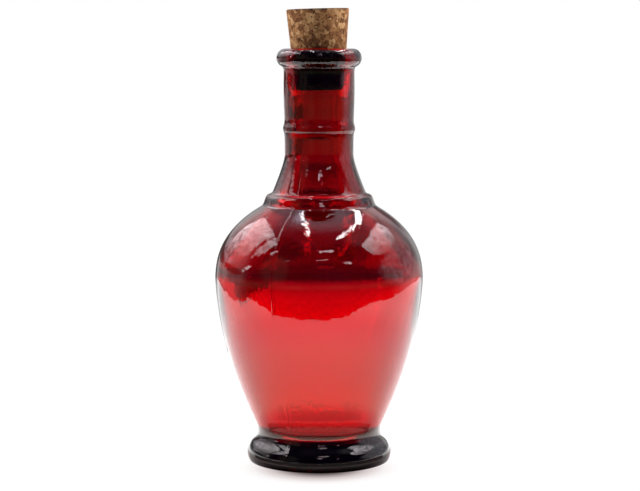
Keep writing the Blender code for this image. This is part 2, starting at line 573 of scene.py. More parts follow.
@dataclass(frozen=True)
class LitSheet:
    """White laminate under lamps, graded by how far each place is from the bottle.

    It is dim and warm before the foot, bright behind it, and dull far off and to the
    flanks. Through the glass this gives the pale red of the body and its darker rims.
    """

    name: str = "Laminate, white, lamp-lit"
    # Near the foot both grades dip: a painted shadow of the foot on the table.
    before: Levels = (
        (0.036, (0.006, 0.004, 0.004)),
        (0.040, (0.10, 0.08, 0.08)),
        (0.0425, (0.30, 0.26, 0.24)),
        (0.053, (0.24, 0.18, 0.18)),
        (0.058, (0.48, 0.43, 0.34)),
        (0.064, (0.76, 0.71, 0.55)),
        (0.075, (0.82, 0.77, 0.62)),
        (0.100, (0.90, 0.86, 0.76)),
        (0.130, (0.96, 0.94, 0.83)),
        (0.170, (0.88, 0.84, 0.87)),
        (0.215, (0.76, 0.74, 0.77)),
        (0.280, (1.0, 1.0, 1.0)),
    )
    behind: Levels = (
        (0.028, (2.0, 2.0, 2.0)),
        (0.034, (1.5, 1.4, 1.4)),
        (0.038, (0.8, 0.7, 0.7)),
        (0.042, (0.45, 0.40, 0.40)),
        (0.046, (0.40, 0.35, 0.35)),
        (0.060, (0.80, 0.78, 0.78)),
        (0.080, (1.0, 1.0, 1.0)),
        (0.130, (1.15, 1.15, 1.15)),
        (0.300, (1.15, 1.15, 1.15)),
        (0.400, (1.0, 1.0, 1.0)),
    )
    turn: Point = (-0.9, 0.9)
    far: Points = (
        (0.298, 1.0),
        (0.314, 0.82),
        (0.335, 0.68),
        (0.36, 0.56),
        (0.41, 0.45),
        (0.52, 0.34),
        (0.76, 0.18),
    )
    skew: float = -1.2
    skew_from: float = 0.11
    flank: Points = ((0.060, 1.0), (0.085, 0.80), (0.150, 0.80), (0.260, 1.0))
    flank_from: Point = (0.22, 0.27)
    full: float = 2.15
    fade: Point = (0.68, 0.86)

    def near(self, tree: Tree, place: Socket) -> Socket:
        """Grade the sheet round the foot, before and behind it.

        Args:
            tree: The node tree.
            place: The place on the sheet.

        Returns:
            The colour.
        """
        away = add_node(tree, "ShaderNodeVectorMath", {"operation": "LENGTH"}, {0: place})
        way = add_node(tree, "ShaderNodeVectorMath", {"operation": "NORMALIZE"}, {0: place})
        bearing = add_node(tree, "ShaderNodeSeparateXYZ", links={"Vector": way.outputs[0]})
        ramps = []
        for levels in (self.before, self.behind):
            ramp = add_node(tree, "ShaderNodeValToRGB", links={"Fac": away.outputs["Value"]})
            set_stops(ramp, levels)
            ramps.append(ramp.outputs["Color"])
        low, high = self.turn
        links = {"Value": bearing.outputs["Y"], "From Min": low, "From Max": high}
        side = add_node(tree, "ShaderNodeMapRange", SMOOTH, links).outputs["Result"]
        links = {"Factor": side, 6: ramps[0], 7: ramps[1]}
        return add_node(tree, "ShaderNodeMix", {"data_type": "RGBA"}, links).outputs[2]

    def dimmed(self, tree: Tree, apart: bpy.types.Node, near: Socket) -> Socket:
        """Dull the sheet far off and, well behind the bottle, to its flanks.

        Args:
            tree: The node tree.
            apart: The node that gives the place's X and Y.
            near: The colour so far.

        Returns:
            The colour.
        """
        aside = add_node(tree, "ShaderNodeMath", {"operation": "ABSOLUTE"}, {0: apart.outputs["X"]})
        links = {0: aside.outputs[0], 1: self.skew_from}
        beyond = add_node(tree, "ShaderNodeMath", {"operation": "SUBTRACT"}, links).outputs[0]
        wide = add_node(tree, "ShaderNodeMath", {"operation": "MAXIMUM"}, {0: beyond, 1: 0.0})
        links = {0: wide.outputs[0], 1: self.skew, 2: apart.outputs["Y"]}
        depth = add_node(tree, "ShaderNodeMath", {"operation": "MULTIPLY_ADD"}, links).outputs[0]
        dull = add_node(tree, "ShaderNodeValToRGB", links={"Fac": depth})
        set_stops(dull, [(r, (v, v, v)) for r, v in self.far])
        flank = add_node(tree, "ShaderNodeValToRGB", links={"Fac": aside.outputs[0]})
        set_stops(flank, [(r, (v, v, v)) for r, v in self.flank])
        low, high = self.flank_from
        links = {"Value": apart.outputs["Y"], "From Min": low, "From Max": high}
        past = add_node(tree, "ShaderNodeMapRange", SMOOTH, links).outputs["Result"]
        colour = near
        for share, shade in ((1.0, dull), (past, flank)):
            colour = add_node(
                tree,
                "ShaderNodeMix",
                {"data_type": "RGBA", "blend_type": "MULTIPLY"},
                {"Factor": share, 6: colour, 7: shade.outputs["Color"]},
            ).outputs[2]
        return colour

    def material(self) -> Material:
        """Build the sheet's surface, which fades out at its far end.

        Returns:
            The material.
        """
        material, tree = new_material(self.name)
        place = add_node(tree, "ShaderNodeTexCoord").outputs["Object"]
        apart = add_node(tree, "ShaderNodeSeparateXYZ", links={"Vector": place})
        colour = self.dimmed(tree, apart, self.near(tree, place))
        light = add_node(tree, "ShaderNodeEmission", links={"Color": colour, "Strength": self.full})
        low, high = self.fade
        links = {"Value": apart.outputs["Y"], "From Min": low, "From Max": high}
        fade = add_node(tree, "ShaderNodeMapRange", SMOOTH, links).outputs["Result"]
        clear = add_node(tree, "ShaderNodeBsdfTransparent").outputs[0]
        links = {0: fade, 1: light.outputs["Emission"], 2: clear}
        mixed = add_node(tree, "ShaderNodeMixShader", links=links)
        add_node(tree, "ShaderNodeOutputMaterial", links={"Surface": mixed.outputs[0]})
        return material


@dataclass(frozen=True)
class DimRoom:
    """Painted plaster far from the lamps, graded by the angle over eye level.

    The end before the bottle is nearly black, which makes the shoulder's mirror image
    dark, and the end behind it is dimly lit. Angles are in degrees.
    """

    name: str = "Plaster, painted, far from the lamps"
    eye_level: float = 0.13
    behind: Levels = (
        (-14.0, (0.40, 0.40, 0.40)),
        (-9.0, (0.55, 0.55, 0.55)),
        (-3.0, (0.72, 0.72, 0.72)),
        (9.0, (0.60, 0.60, 0.60)),
        (20.0, (0.85, 0.85, 0.90)),
        (32.0, (1.3, 1.3, 1.35)),
        (42.0, (0.60, 0.60, 0.66)),
        (60.0, (0.50, 0.46, 0.58)),
    )
    before: Levels = (
        (-12.0, (0.01, 0.01, 0.01)),
        (-8.0, (0.13, 0.13, 0.09)),
        (-3.0, (0.13, 0.13, 0.09)),
        (0.5, (0.02, 0.01, 0.045)),
        (40.0, (0.02, 0.015, 0.04)),
        (60.0, (0.04, 0.03, 0.07)),
        (76.0, (0.09, 0.07, 0.14)),
        (84.0, (0.28, 0.24, 0.38)),
    )
    turn: Point = (-0.15, 0.35)
    patches_round: float = 2.6
    patchy: float = 0.4

    def graded(self, tree: Tree, way: Socket) -> Socket:
        """Grade both ends of the room from the floor up.

        Args:
            tree: The node tree.
            way: The direction from the bottle.

        Returns:
            The colour.
        """
        apart = add_node(tree, "ShaderNodeSeparateXYZ", links={"Vector": way})
        slope = add_node(tree, "ShaderNodeMath", {"operation": "ARCSINE"}, {0: apart.outputs["Z"]})
        links = {"Value": slope.outputs[0], "From Min": -math.pi / 2, "From Max": math.pi / 2}
        rise = add_node(tree, "ShaderNodeMapRange", links=links).outputs["Result"]
        ramps = []
        for levels in (self.before, self.behind):
            ramp = add_node(tree, "ShaderNodeValToRGB", links={"Fac": rise})
            set_stops(ramp, [((angle + 90.0) / 180.0, colour) for angle, colour in levels])
            ramps.append(ramp.outputs["Color"])
        low, high = self.turn
        links = {"Value": apart.outputs["Y"], "From Min": low, "From Max": high}
        side = add_node(tree, "ShaderNodeMapRange", SMOOTH, links).outputs["Result"]
        links = {"Factor": side, 6: ramps[0], 7: ramps[1]}
        return add_node(tree, "ShaderNodeMix", {"data_type": "RGBA"}, links).outputs[2]

    def material(self) -> Material:
        """Build the walls' surface.

        Returns:
            The material.
        """
        material, tree = new_material(self.name)
        place = add_node(tree, "ShaderNodeTexCoord").outputs["Object"]
        links = {0: place, 1: (0.0, 0.0, self.eye_level)}
        off = add_node(tree, "ShaderNodeVectorMath", {"operation": "SUBTRACT"}, links).outputs[0]
        way = add_node(tree, "ShaderNodeVectorMath", {"operation": "NORMALIZE"}, {0: off}).outputs[0]
        links = {"Vector": way, "Scale": self.patches_round, "Detail": 3.0}
        cloud = add_node(tree, "ShaderNodeTexNoise", links=links)
        patch = add_node(
            tree,
            "ShaderNodeMapRange",
            links={
                "Value": cloud.outputs["Fac"],
                "From Min": 0.35,
                "From Max": 0.65,
                "To Min": 1.0 - self.patchy,
                "To Max": 1.0 + self.patchy,
            },
        )
        links = {"Color": self.graded(tree, way), "Strength": patch.outputs["Result"]}
        light = add_node(tree, "ShaderNodeEmission", links=links)
        add_node(tree, "ShaderNodeOutputMaterial", links={"Surface": light.outputs["Emission"]})
        return material


@dataclass(frozen=True)
class PaleFloor:
    """White laminate that glows evenly, with a soft shadow painted round where the foot stands."""

    name: str = "Laminate, white, satin"
    own_light: float = 1.02
    shade: Levels = (
        (0.012, (0.030, 0.020, 0.020)),
        (0.0165, (0.20, 0.16, 0.16)),
        (0.0205, (0.46, 0.39, 0.39)),
        (0.024, (0.66, 0.59, 0.59)),
        (0.028, (0.79, 0.72, 0.72)),
        (0.031, (0.90, 0.86, 0.86)),
        (0.036, (0.97, 0.95, 0.95)),
        (0.043, (1.0, 1.0, 1.0)),
    )
    shade_middle: Triple = (0.0, -0.020, 0.0)

    def material(self) -> Material:
        """Build the floor's surface.

        Returns:
            The material.
        """
        material, tree = new_material(self.name)
        place = add_node(tree, "ShaderNodeTexCoord").outputs["Object"]
        # The ramp paints the foot's soft shadow into the floor's own light, a little towards the front.
        links = {0: place, 1: self.shade_middle}
        away = add_node(tree, "ShaderNodeVectorMath", {"operation": "DISTANCE"}, links)
        ramp = add_node(tree, "ShaderNodeValToRGB", links={"Fac": away.outputs["Value"]})
        set_stops(ramp, self.shade)
        surface = add_node(
            tree,
            "ShaderNodeBsdfPrincipled",
            links={
                "Base Color": (0.03, 0.03, 0.03, 1.0),
                "Roughness": 1.0,
                "Specular IOR Level": 0.0,
                "Emission Color": ramp.outputs["Color"],
                "Emission Strength": self.own_light,
            },
        )
        add_node(tree, "ShaderNodeOutputMaterial", links={"Surface": surface.outputs["BSDF"]})
        return material


@dataclass(frozen=True)
class DayWindow:
    """A window seen from inside: mottled foliage low down and bright sky above.

    A few dark boughs cross it. Its levels are heights in the room and their strengths.
    """

    name: str = "Window, daylight through branches"
    tone: Triple = (1.0, 0.93, 0.97)
    levels: Points = (
        (0.35, 0.6),
        (0.55, 1.5),
        (0.80, 3.2),
        (1.1, 4.8),
        (1.4, 5.6),
        (1.9, 6.0),
    )
    top: float = 2.0
    patch_mm: float = 170.0
    patches: Point = (0.38, 0.60)
    mottle: Point = (0.45, 1.385)
    branch_mm: float = 420.0
    branch_edge: Point = (0.002, 0.012)
    branch_shade: float = 0.25

    def mottled(self, tree: Tree, place: Socket) -> Socket:
        """Make the foliage's patches.

        Args:
            tree: The node tree.
            place: The place on the window.

        Returns:
            The share of light that comes through.
        """
        cloud = add_node(
            tree,
            "ShaderNodeTexNoise",
            links={
                "Vector": place,
                "Scale": 1.0 / self.patch_mm / MM,
                "Detail": 7.0,
                "Roughness": 0.7,
                "Distortion": 0.8,
            },
        )
        mottle = add_node(
            tree,
            "ShaderNodeMapRange",
            links={
                "Value": cloud.outputs["Fac"],
                "From Min": self.patches[0],
                "From Max": self.patches[1],
                "To Min": self.mottle[0],
                "To Max": self.mottle[1],
            },
        )
        return mottle.outputs["Result"]

    def boughs(self, tree: Tree, place: Socket) -> Socket:
        """Draw the boughs along the middle level of a wide noise.

        Args:
            tree: The node tree.
            place: The place on the window.

        Returns:
            The share of light that comes through.
        """
        scale = 1.0 / self.branch_mm / MM
        links = {"Vector": place, "Scale": scale, "Detail": 4.0, "Roughness": 0.6}
        wide = add_node(tree, "ShaderNodeTexNoise", links=links)
        links = {0: wide.outputs["Fac"], 1: 0.5}
        off = add_node(tree, "ShaderNodeMath", {"operation": "SUBTRACT"}, links).outputs[0]
        near = add_node(tree, "ShaderNodeMath", {"operation": "ABSOLUTE"}, {0: off}).outputs[0]
        low, high = self.branch_edge
        links = {"Value": near, "From Min": low, "From Max": high, "To Min": self.branch_shade}
        return add_node(tree, "ShaderNodeMapRange", SMOOTH, links).outputs["Result"]

    def material(self) -> Material:
        """Build the window's light.

        Returns:
            The material.
        """
        material, tree = new_material(self.name)
        place = add_node(tree, "ShaderNodeTexCoord").outputs["Object"]
        apart = add_node(tree, "ShaderNodeSeparateXYZ", links={"Vector": place})
        links = {0: apart.outputs["Z"], 1: 1.0 / self.top}
        rise = add_node(tree, "ShaderNodeMath", {"operation": "MULTIPLY"}, links).outputs[0]
        ramp = add_node(tree, "ShaderNodeValToRGB", links={"Fac": rise})
        set_stops(ramp, [(z / self.top, tuple(v * c for c in self.tone)) for z, v in self.levels])
        links = {0: self.mottled(tree, place), 1: self.boughs(tree, place)}
        both = add_node(tree, "ShaderNodeMath", {"operation": "MULTIPLY"}, links).outputs[0]
        links = {"Color": ramp.outputs["Color"], "Strength": both}
        light = add_node(tree, "ShaderNodeEmission", links=links)
        add_node(tree, "ShaderNodeOutputMaterial", links={"Surface": light.outputs["Emission"]})
        return material


@dataclass(frozen=True)
class Doorway:
    """A dark upright opening far behind, soft at its foot, its head and both its sides.

    Through the clear neck and shoulder it deepens the red. Its rise gives heights and
    strengths, and the soft edges are where the card starts to show and is solid.
    """

    name: str = "Doorway, dark, far behind"
    rise: Points = (
        (0.0, 0.38),
        (0.10, 0.38),
        (0.120, 0.46),
        (0.160, 0.46),
        (0.180, 0.42),
        (0.220, 0.26),
    )
    middle: float = -0.04
    sides: Point = (0.18, 0.26)
    foot: Point = (-0.03, -0.01)
    head: Point = (0.205, 0.222)

    def solid(self, tree: Tree, apart: bpy.types.Node) -> Socket:
        """Work out how solid the card is, from its four soft edges.

        Args:
            tree: The node tree.
            apart: The node that gives the place's X and Z.

        Returns:
            The share of the card that shows.
        """
        links = {0: apart.outputs["X"], 1: self.middle}
        across = add_node(tree, "ShaderNodeMath", {"operation": "SUBTRACT"}, links).outputs[0]
        aside = add_node(tree, "ShaderNodeMath", {"operation": "ABSOLUTE"}, {0: across}).outputs[0]
        rise = apart.outputs["Z"]
        edges = ((aside, *reversed(self.sides)), (rise, *self.foot), (rise, *reversed(self.head)))
        held = 1.0
        for value, clear, full in edges:
            links = {"Value": value, "From Min": clear, "From Max": full}
            edge = add_node(tree, "ShaderNodeMapRange", SMOOTH, links).outputs["Result"]
            links = {0: edge, 1: held}
            held = add_node(tree, "ShaderNodeMath", {"operation": "MULTIPLY"}, links).outputs[0]
        return held

    def material(self) -> Material:
        """Build the doorway's dim light.

        Returns:
            The material.
        """
        material, tree = new_material(self.name)
        place = add_node(tree, "ShaderNodeTexCoord").outputs["Object"]
        apart = add_node(tree, "ShaderNodeSeparateXYZ", links={"Vector": place})
        ramp = add_node(tree, "ShaderNodeValToRGB", links={"Fac": apart.outputs["Z"]})
        set_stops(ramp, [(z, (v, v, v)) for z, v in self.rise])
        light = add_node(tree, "ShaderNodeEmission", links={"Color": ramp.outputs["Color"]})
        clear = add_node(tree, "ShaderNodeBsdfTransparent").outputs[0]
        links = {0: self.solid(tree, apart), 1: clear, 2: light.outputs["Emission"]}
        mixed = add_node(tree, "ShaderNodeMixShader", links=links)
        add_node(tree, "ShaderNodeOutputMaterial", links={"Surface": mixed.outputs[0]})
        return material


@dataclass
class GlassShell:
    """The bottle: foot, waist, body, shoulder, collar, neck, bead, lip and cavity.

    A named point is a radius and a height, both from the middle of the foot's underside.
    """

    finish: TintedGlass = field(default_factory=TintedGlass)
    steps: int = 54
    levels: int = 2
    push_up: float = 3.6 * MM
    bearing_inner: float = 25.0 * MM
    bearing_outer: float = 33.6 * MM
    foot_r: float = 35.0 * MM
    band: Point = (3.6 * MM, 5.0 * MM)
    roll_top: Point = (32.1 * MM, 10.4 * MM)
    waist: Point = (30.0 * MM, 15.4 * MM)
    body_start: Point = (31.2 * MM, 19.0 * MM)
    widest: Point = (50.3 * MM, 91.0 * MM)
    shoulder_end: Point = (27.65 * MM, 123.9 * MM)
    collar_low: Point = (27.05 * MM, 124.6 * MM)
    collar_high: Point = (25.65 * MM, 128.6 * MM)
    collar_top: Point = (22.9 * MM, 129.9 * MM)
    flare_start: Point = (22.4 * MM, 130.6 * MM)
    neck: Point = (16.53 * MM, 150.0 * MM)
    bead_r: float = 17.5 * MM
    bead_span: Point = (158.6 * MM, 163.6 * MM)
    over_bead: Points = (
        (16.63 * MM, 163.6 * MM),
        (16.68 * MM, 167.6 * MM),
        (16.95 * MM, 172.0 * MM),
    )
    upper_neck: Point = (17.05 * MM, 180.0 * MM)
    lip_under: Point = (16.8 * MM, 190.4 * MM)
    lip_middle: Point = (20.5 * MM, 194.7 * MM)
    lip_top: Point = (16.3 * MM, 199.2 * MM)
    mouth_edge: Point = (14.6 * MM, 199.2 * MM)
    mouth: Point = (13.85 * MM, 198.5 * MM)
    taper: Point = (12.9 * MM, 188.7 * MM)
    seat: Point = (11.95 * MM, 179.0 * MM)
    bore_r: float = 11.0 * MM
    bore_span: Point = (162.0 * MM, 173.0 * MM)
    bore_end: Point = (11.5 * MM, 150.0 * MM)
    throat: Point = (16.5 * MM, 130.0 * MM)
    under_collar: Point = (23.4 * MM, 120.6 * MM)
    wall: float = 3.6 * MM
    heel: Point = (26.7 * MM, 22.4 * MM)
    groove: Point = (21.0 * MM, 10.3 * MM)
    floor_step: Point = (14.7 * MM, 10.9 * MM)
    floor_centre: float = 12.4 * MM

    def outside(self) -> list[Point]:
        """Work out the outer profile, from under the foot up to the lip.

        Returns:
            The points, as radius and height.
        """
        up = (0.0, 1.0)
        points = [(0.0, self.push_up)]
        points += span(points[0], (1.0, 0.0), 9.3 * MM, (0.6, -1.0), 4.0 * MM, (self.bearing_inner, 0.0), 6)
        points += [(0.5 * (self.bearing_inner + self.bearing_outer), 0.0), (self.bearing_outer, 0.0)]
        points += quarter(points[-1], (self.foot_r, self.band[0]), 3, False)
        points.append((self.foot_r, self.band[1]))
        lean = (-1.0, 1.0)
        points += span(points[-1], up, 2.4 * MM, lean, 1.4 * MM, self.roll_top, 4)
        points += span(points[-1], lean, 1.5 * MM, up, 2.2 * MM, self.waist, 3)
        rise = (0.522, 1.0)
        points += span(self.waist, up, 1.3 * MM, rise, 1.0 * MM, self.body_start, 2)
        points += span(self.body_start, rise, 39.5 * MM, up, 4.0 * MM, self.widest, 9)
        points += span(self.widest, up, 21.6 * MM, (-1.4545, 1.0), 2.0 * MM, self.shoulder_end, 9)
        half = (Vector(self.collar_low) + Vector(self.collar_high)) / 2
        points += [self.collar_low, (half.x, half.y), self.collar_high]
        points += quarter(self.collar_high, self.collar_top, 2, True)
        points.append(self.flare_start)
        points += span(self.flare_start, (-0.414, 1.0), 17.0 * MM, up, 2.0 * MM, self.neck, 5)
        low, high = self.bead_span
        points.append((self.neck[0], low))
        for share in (0.25, 0.5, 0.75):
            swell = (self.bead_r - self.neck[0]) * math.sin(math.pi * share)
            points.append((self.neck[0] + swell, low + (high - low) * share))
        points += [*self.over_bead, self.upper_neck]
        points += [(self.upper_neck[0], self.upper_neck[1] + 4 * MM), self.lip_under]
        points += quarter(self.lip_under, self.lip_middle, 4, False)
        points += quarter(self.lip_middle, self.lip_top, 5, True)
        return points

    def inside(self) -> list[Point]:
        """Work out the cavity's profile, from the mouth down to the humped floor.

        Returns:
            The points, as radius and height.
        """
        down = (0.0, -1.0)
        points = [self.mouth_edge, self.mouth, self.taper, self.seat]
        points += quarter(self.seat, (self.bore_r, self.bore_span[1]), 2, False)
        points += [(self.bore_r, self.bore_span[0]), self.bore_end]
        widen = (self.bore_end[0] - self.bore_r, self.bore_end[1] - self.bore_span[0])
        flare = (0.45, -1.0)
        points += span(self.bore_end, widen, 5.0 * MM, flare, 8.0 * MM, self.throat, 4)
        spread = (1.1, -1.0)
        points += span(self.throat, flare, 1.2 * MM, spread, 3.0 * MM, self.under_collar, 4)
        inner = (self.widest[0] - self.wall, self.widest[1])
        points += span(self.under_collar, spread, 3.0 * MM, down, 14.0 * MM, inner, 8)
        fall = (-0.41, -1.0)
        points += span(inner, down, 7.0 * MM, fall, 33.4 * MM, self.heel, 9)
        points += span(self.heel, fall, 9.0 * MM, (-1.0, 0.0), 2.4 * MM, self.groove, 5)
        points += span(self.groove, (-1.0, 0.0), 1.0 * MM, (-1.0, 0.6), 3.0 * MM, self.floor_step, 2)
        centre = (0.0, self.floor_centre)
        points += span(self.floor_step, (-1.0, 0.6), 2.0 * MM, (-1.0, 0.0), 6.0 * MM, centre, 3)
        return points

    def dress(self, item: Item) -> None:
        """Set the shell in the frame, in place of the solid bottle.

        Args:
            item: The shell.
        """
        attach(item, "root")
        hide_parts("bottle")

    def build(self) -> Item:
        """Turn the outside and the cavity as one skin of glass.

        Returns:
            The bottle.
        """
        shape = turned(self.outside() + self.inside(), self.steps)
        item = finished(shape, "bottle_glass", self.finish.material(), self.levels)
        self.dress(item)
        return item


@dataclass
class CorkStopper:
    """The tapered cork that leans in the mouth."""

    finish: PressedCork = field(default_factory=PressedCork)
    steps: int = 96
    rows: int = 44
    rings: tuple[float, ...] = (0.8, 0.6, 0.4, 0.2)
    top_r: float = 15.0 * MM
    end_r: float = 11.62 * MM
    length: float = 38.5 * MM
    edge: float = 0.4 * MM
    pivot: float = 191.0 * MM
    above_end: float = 11.5 * MM
    lean: float = math.radians(1.5)

    def profile(self) -> list[Point]:
        """Work out the cork's profile about its pivot, from its lower end up.

        Returns:
            The points, as radius and height.
        """
        low = -self.above_end
        high = low + self.length
        points = [(0.0, low), (0.5 * self.end_r, low), (self.end_r - self.edge, low)]
        for row in range(self.rows + 1):
            share = row / self.rows
            r = self.end_r + (self.top_r - self.end_r) * share
            points.append((r, low + self.edge + (self.length - 2 * self.edge) * share))
        points.append((self.top_r - self.edge, high))
        points += [(self.top_r * share, high) for share in self.rings]
        points.append((0.0, high))
        return points

    def dress(self, item: Item) -> None:
        """Set the cork in the frame, in place of the solid cork.

        Args:
            item: The cork.
        """
        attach(item, "root")
        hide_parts("cork")

    def build(self) -> Item:
        """Turn the cork and lean it about its pivot.

        Returns:
            The cork.
        """
        shape = turned(self.profile(), self.steps)
        place = Matrix.Translation((0.0, 0.0, self.pivot)) @ Matrix.Rotation(-self.lean, 4, "Y")
        bmesh.ops.transform(shape, matrix=place, verts=shape.verts)
        item = finished(shape, "cork_stopper", self.finish.material())
        self.dress(item)
        return item


class Seen(Enum):
    """Which rays meet a piece of the studio."""

    BY_EYE = "floor"
    BY_GLASS = "card"


@dataclass
class Studio:
    """A pale floor and soft light, with cards that only the glass mirrors and passes.

    Outlines on the table are X and Y, the windows' corners are Y and height, and a tube
    is its two ends and its width.
    """

    floor_reach: float = 6.0
    sheet_drop: float = 0.5 * MM
    sheet_edge: Points = (
        (-0.42, 0.88),
        (-0.40, 0.39),
        (-0.395, 0.22),
        (-0.355, 0.08),
        (-0.350, -0.03),
        (-0.375, -0.05),
        (-0.330, -0.11),
        (-0.26, -0.145),
        (-0.17, -0.17),
        (-0.12, -0.20),
        (0.0, -0.22),
        (0.12, -0.21),
        (0.205, -0.205),
        (0.285, -0.165),
        (0.34, -0.09),
        (0.41, 0.0),
        (0.46, 0.12),
        (0.56, 0.33),
        (0.60, 0.88),
    )
    dull_patch: Points = (
        (-0.050, 0.88),
        (-0.054, 0.42),
        (-0.062, 0.345),
        (-0.073, 0.300),
        (-0.087, 0.262),
        (-0.102, 0.230),
        (-0.108, 0.250),
        (-0.107, 0.300),
        (-0.108, 0.34),
        (-0.14, 0.37),
        (-0.17, 0.88),
    )
    shade_radius: float = 44.5 * MM
    shade_tall: float = 4.5 * MM
    shade_from: float = math.radians(100.0)
    shade_turn: float = math.radians(160.0)
    shade_steps: int = 40
    room_half: float = 4.0
    shoulder: float = 0.13
    window_left_x: float = -1.2
    window_left: Points = (
        (0.10, 0.60),
        (0.44, 0.47),
        (0.66, 0.36),
        (1.0, 0.34),
        (1.5, 0.50),
        (1.8, 1.1),
        (1.85, 1.6),
        (1.7, 1.91),
        (0.10, 1.91),
    )
    window_left_pane: Points = (
        (-0.37, 1.0),
        (-0.04, 0.62),
        (-0.04, 1.91),
        (-0.37, 1.75),
    )
    window_right_x: float = 1.34
    window_right: Points = (
        (1.49, 1.50),
        (1.12, 1.12),
        (0.77, 0.92),
        (0.30, 0.84),
        (-0.20, 0.86),
        (-0.45, 1.05),
        (-0.55, 1.40),
        (-0.50, 1.77),
        (0.60, 1.88),
        (1.49, 1.86),
    )
    window_right_levels: Points = (
        (0.66, 0.8),
        (0.95, 1.6),
        (1.2, 3.4),
        (1.5, 5.2),
        (1.9, 6.2),
    )
    tube_height: float = 1.895
    near_tubes: tuple[tuple[float, ...], ...] = (
        (-0.33, 0.85, -0.28, -0.45, 0.06),
        (0.80, 1.50, 0.87, 0.60, 0.13),
        (0.87, 0.62, 0.55, -0.55, 0.065),
    )
    far_tubes: tuple[tuple[float, ...], ...] = (
        (-0.05, -1.46, 0.54, -1.35, 0.11),
        (-0.13, -2.46, 0.52, -2.46, 0.13),
        (1.40, -2.64, 2.04, -2.52, 0.13),
        (-2.73, -2.46, -1.75, -2.16, 0.13),
        (-2.26, -1.00, -1.69, -0.94, 0.11),
    )
    side_tube: tuple[Triple, ...] = (
        (-2.0, 0.12, 0.27),
        (-2.0, 0.12, 0.33),
        (-2.0, -0.3, 0.66),
        (-2.0, -0.3, 0.60),
    )
    lamp_size: float = 0.7
    lamp_aim: Triple = (0.0, 0.0, 0.15)

    def show(self, item: Item, seen: Seen) -> None:
        """Limit a piece of the studio to the rays that should meet it.

        Args:
            item: The piece.
            seen: Which rays meet it.
        """
        glass_only = seen is Seen.BY_GLASS
        item.visible_camera = item.visible_diffuse = item.visible_shadow = not glass_only
        item.visible_glossy = item.visible_transmission = glass_only
        item.visible_volume_scatter = not glass_only

    def sheet(
        self,
        name: str,
        outline: Sequence[Sequence[float]],
        material: Material,
        seen: Seen = Seen.BY_GLASS,
    ) -> None:
        """Add one flat piece of the studio.

        Args:
            name: The piece's name.
            outline: Its corners, in order.
            material: Its material.
            seen: Which rays meet it.
        """
        shape = bmesh.new()
        shape.faces.new([shape.verts.new(corner) for corner in outline])
        self.show(finished(shape, name, material), seen)

    def pane(self, name: str, x: float, outline: Sequence[Point], finish: DayWindow) -> None:
        """Stand up a window that faces sideways, with its outline in Y and height."""
        self.sheet(name, [(x, y, z) for y, z in outline], finish.material())

    def stand(self, name: str, x: Point, y: float, z: Point, finish: Doorway) -> None:
        """Stand up an oblong card that faces the bottle, from its spans in X and height."""
        outline = [(x[0], y, z[0]), (x[1], y, z[0]), (x[1], y, z[1]), (x[0], y, z[1])]
        self.sheet(name, outline, finish.material())

    def lay(
        self,
        name: str,
        x: Point,
        y: Point,
        z: float,
        material: Material,
        seen: Seen = Seen.BY_GLASS,
    ) -> None:
        """Lay an oblong card flat.

        Args:
            name: The card's name.
            x: Its span in X.
            y: Its span in Y.
            z: Its height.
            material: Its material.
            seen: Which rays meet it.
        """
        outline = [(x[0], y[0], z), (x[1], y[0], z), (x[1], y[1], z), (x[0], y[1], z)]
        self.sheet(name, outline, material, seen)

    def hang(self, name: str, where: Point, size: Point, away: float, finish: Glow) -> None:
        """Hang an upright soft-edged cloth that faces the bottle.

        Args:
            name: The cloth's name.
            where: The bearing of its middle from straight behind to the right, and its
                angle over the shoulder, in degrees.
            size: Its width and height, in degrees.
            away: How far off it hangs.
            finish: Its light, whose middle and reach are set here.
        """
        bearing, rise = map(math.radians, where)
        half_wide, half_tall = (away * math.tan(math.radians(angle / 2)) for angle in size)
        height = self.shoulder + math.tan(rise) * away
        middle = Vector((math.sin(bearing) * away, math.cos(bearing) * away, height))
        across = Vector((math.cos(bearing), -math.sin(bearing), 0.0)) * half_wide
        up = Vector((0.0, 0.0, half_tall))
        outline = [middle - across - up, middle + across - up]
        outline += [middle + across + up, middle - across + up]
        reach = (half_wide, half_wide, half_tall)
        self.sheet(name, outline, replace(finish, middle=tuple(middle), reach=reach).material())

    def build_table(self) -> None:
        """Lay the floor, and the table top that the glass sees in its place."""
        wide = (-self.floor_reach, self.floor_reach)
        self.lay("floor", wide, wide, 0.0, PaleFloor().material(), Seen.BY_EYE)
        sheet = [(x, y, -self.sheet_drop) for x, y in self.sheet_edge]
        self.sheet("table_top", sheet, LitSheet().material())
        # A thing off to the left darkens a strip of the table, seen in the body's left half.
        dull = Glow("Laminate, white, out of the lamps", "fff0f0", 0.30)
        self.sheet("table_dull", [(x, y, 0.0) for x, y in self.dull_patch], dull.material())
        # The body shades the table close behind it, which evens out the light in its middle.
        shade = Glow(
            "Laminate, in the bottle's shade",
            "fffafa",
            1.5,
            middle=(0.0, 0.142, 0.0),
            reach=(0.055, 0.066, 1.0),
            soft=0.45,
        )
        self.lay("shade_behind", (-0.06, 0.06), (0.075, 0.21), 0.0, shade.material())

    def build_shade_ring(self) -> None:
        """Stand a low card round the front of the foot, as dim as the table in its shade."""
        shape = bmesh.new()
        way = Vector((math.sin(self.shade_from), math.cos(self.shade_from), 0.0))
        start = way * self.shade_radius
        top = start + Vector((0.0, 0.0, self.shade_tall))
        ends = [shape.verts.new(start), shape.verts.new(top)]
        bmesh.ops.spin(
            shape,
            geom=ends + [shape.edges.new(ends)],
            cent=(0.0, 0.0, 0.0),
            axis=(0.0, 0.0, -1.0),
            angle=self.shade_turn,
            steps=self.shade_steps,
        )
        finish = Glow("Laminate, shaded by the foot", "ffe8e8", 0.28)
        self.show(finished(shape, "shade_round_foot", finish.material()), Seen.BY_GLASS)

